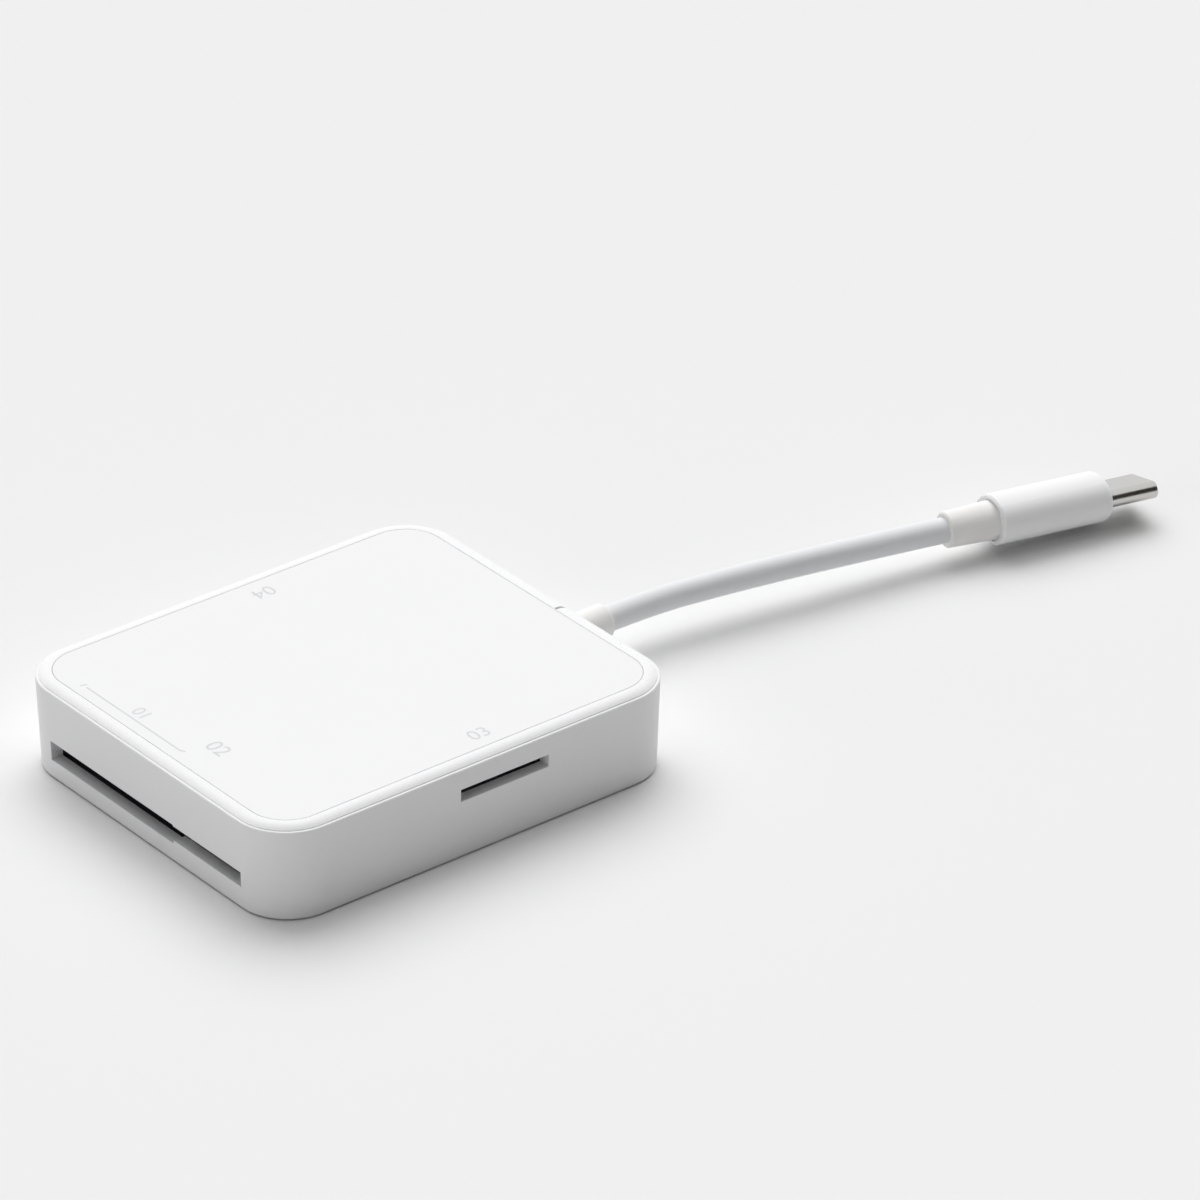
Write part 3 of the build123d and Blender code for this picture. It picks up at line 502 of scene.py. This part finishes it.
# %% Capacitors: tan ceramic
ceramic = blank_finish("tan_ceramic")
tree = ceramic.node_tree
place = put(tree, "ShaderNodeTexCoord")
specks = put(tree, "ShaderNodeTexNoise", {"Vector": place.outputs["Object"], "Scale": 1 / (0.3 * MM),
                                          "Detail": 3.0})
tint = put(tree, "ShaderNodeMix", {"Factor": specks.outputs["Fac"], "A": linear("A88660"),
                                   "B": linear("BC9A72")}, data_type="RGBA")
shader = put(tree, "ShaderNodeBsdfPrincipled", {"Base Color": tint.outputs["Result"],
                                                "Roughness": 0.5})
put(tree, "ShaderNodeOutputMaterial", {"Surface": shader.outputs["BSDF"]})
dress(ceramic, "capacitors")

# %% Leads: red insulation
insulation = blank_finish("red_wire_insulation")
tree = insulation.node_tree
place = put(tree, "ShaderNodeTexCoord")
waver = put(tree, "ShaderNodeTexNoise", {"Vector": place.outputs["Object"], "Scale": 1 / (1 * MM)})
tint = put(tree, "ShaderNodeMix", {"Factor": waver.outputs["Fac"], "A": linear("A32A26"),
                                   "B": linear("B5332E")}, data_type="RGBA")
shader = put(tree, "ShaderNodeBsdfPrincipled", {"Base Color": tint.outputs["Result"],
                                                "Roughness": 0.4})
put(tree, "ShaderNodeOutputMaterial", {"Surface": shader.outputs["BSDF"]})
dress(insulation, "lead_wires")

# %% Light pipe and lamp: smoke-grey clear plastic
smoke = blank_finish("smoke_grey_acrylic")
tree = smoke.node_tree
place = put(tree, "ShaderNodeTexCoord")
flow = put(tree, "ShaderNodeTexNoise", {"Vector": place.outputs["Object"], "Scale": 1 / (1.5 * MM)})
tint = put(tree, "ShaderNodeMix", {"Factor": flow.outputs["Fac"], "A": linear("9A9B9E"),
                                   "B": linear("A6A7AA")}, data_type="RGBA")
shader = put(tree, "ShaderNodeBsdfPrincipled", {"Base Color": tint.outputs["Result"],
                                                "Roughness": 0.2, "IOR": 1.49})
put(tree, "ShaderNodeOutputMaterial", {"Surface": shader.outputs["BSDF"]})
dress(smoke, "light_pipe", "status_lamp")

# %% [markdown]
# The set is a sheet of matte white board under the reader. Its colour is what makes the background
# white. It lies a hair below the case so that the two surfaces don't fight.

# %% Floor
floor_reach = 6.0
floor_drop = 0.02 * MM
floor_shape = bmesh.new()
bmesh.ops.create_grid(floor_shape, x_segments=1, y_segments=1, size=floor_reach)
bmesh.ops.translate(floor_shape, verts=floor_shape.verts[:], vec=(0, 0, -floor_drop))
floor_mesh = bpy.data.meshes.new("floor")
floor_shape.to_mesh(floor_mesh)
floor_shape.free()
floor = bpy.data.objects.new("floor", floor_mesh)
scene.collection.objects.link(floor)
board_white = blank_finish("matte_white_board")
tree = board_white.node_tree
shader = put(tree, "ShaderNodeBsdfDiffuse", {"Color": linear("EEEEEE"), "Roughness": 0.0})
put(tree, "ShaderNodeOutputMaterial", {"Surface": shader.outputs["BSDF"]})
floor_mesh.materials.append(board_white)
print("floor", 2 * floor_reach, "m square")

# %% [markdown]
# The light is a white tent: a weak dome, a little brighter overhead than at the horizon, and a large
# soft box from the left and behind, which lays the reader's shadow towards the camera. The dome's
# gradient comes from the height of the ray. The camera, mirrors and clear pieces see plain white
# instead, as in a light tent.

# %% Dome
dome = bpy.data.worlds.new("light_tent")
scene.world = dome
dome.use_nodes = True
tree = dome.node_tree
tree.nodes.clear()
ray = put(tree, "ShaderNodeTexCoord")
height = put(tree, "ShaderNodeSeparateXYZ", {"Vector": ray.outputs["Generated"]})
glow = put(tree, "ShaderNodeMapRange", {"Value": height.outputs["Z"], "From Min": 0.0, "From Max": 1.0,
                                        "To Min": 0.07, "To Max": 0.1})
sky = put(tree, "ShaderNodeBackground", {"Color": (1.0, 1.0, 1.0, 1.0), "Strength": glow.outputs["Result"]})
white = put(tree, "ShaderNodeBackground", {"Color": (1.0, 1.0, 1.0, 1.0), "Strength": 0.95})
path = put(tree, "ShaderNodeLightPath")
mirrors = put(tree, "ShaderNodeMath", {0: path.outputs["Is Camera Ray"], 1: path.outputs["Is Glossy Ray"]},
              operation="MAXIMUM")
seen = put(tree, "ShaderNodeMath", {0: mirrors.outputs[0], 1: path.outputs["Is Transmission Ray"]},
           operation="MAXIMUM")
tent = put(tree, "ShaderNodeMixShader", {0: seen.outputs[0], 1: sky.outputs[0], 2: white.outputs[0]})
put(tree, "ShaderNodeOutputWorld", {"Surface": tent.outputs[0]})
print("dome ready")

# %% [markdown]
# The soft box has a bright core and a wide, weaker halo, so that thin things such as the cable cast
# only a faint shadow and the case a deeper one. Both are suns with a large angle. The halo has about
# the core's energy, spread over three times as much of the sky. Mirrors see the tent and not these
# lamps, which keeps small white hot spots off the metal. A white card stands low in front and returns
# some light to the front wall, and a third sun stands for it.

# %% Lamps
def shine(name, energy, spread, source):
    """Adds a sun with a spread in degrees, which shines from a direction and isn't seen in mirrors."""
    data = bpy.data.lights.new(name, "SUN")
    data.energy = energy
    data.angle = radians(spread)
    lamp = bpy.data.objects.new(name, data)
    scene.collection.objects.link(lamp)
    lamp.rotation_mode = "QUATERNION"
    lamp.rotation_quaternion = Vector(source).to_track_quat("Z", "Y")
    lamp.visible_glossy = False
    print(name, "from", source)


shine("soft_box_core", energy=1.57, spread=52, source=(-0.46, 0.3, 0.835))
shine("soft_box_halo", energy=1.69, spread=90, source=(-0.34, 0.24, 0.91))
shine("front_card", energy=0.46, spread=40, source=(0.0, -0.99, 0.12))

# %% [markdown]
# Bright metal shows its round edge only if it has something dark to mirror. A grey flag to the right
# of the set, which only mirrors can see, draws the dark line along the plug's shell.

# %% Flag for the metal
flag_x = 0.6
flag_front, flag_rear = -0.4, 0.9
flag_foot, flag_head = 0.03, 0.95
flag_corners = [
    (flag_x, flag_front, flag_foot),
    (flag_x, flag_rear, flag_foot),
    (flag_x, flag_rear, flag_head),
    (flag_x, flag_front, flag_head),
]
flag_shape = bmesh.new()
flag_shape.faces.new([flag_shape.verts.new(corner) for corner in flag_corners])
flag_mesh = bpy.data.meshes.new("grey_flag")
flag_shape.to_mesh(flag_mesh)
flag_shape.free()
flag = bpy.data.objects.new("grey_flag", flag_mesh)
scene.collection.objects.link(flag)
flag.visible_camera = False
flag.visible_diffuse = False
flag.visible_shadow = False
flag.visible_transmission = False
felt = blank_finish("grey_felt")
tree = felt.node_tree
shader = put(tree, "ShaderNodeBsdfDiffuse", {"Color": linear("443E38"), "Roughness": 1.0})
put(tree, "ShaderNodeOutputMaterial", {"Surface": shader.outputs["BSDF"]})
flag_mesh.materials.append(felt)
print("flag", flag_x, "m to the right of the middle")
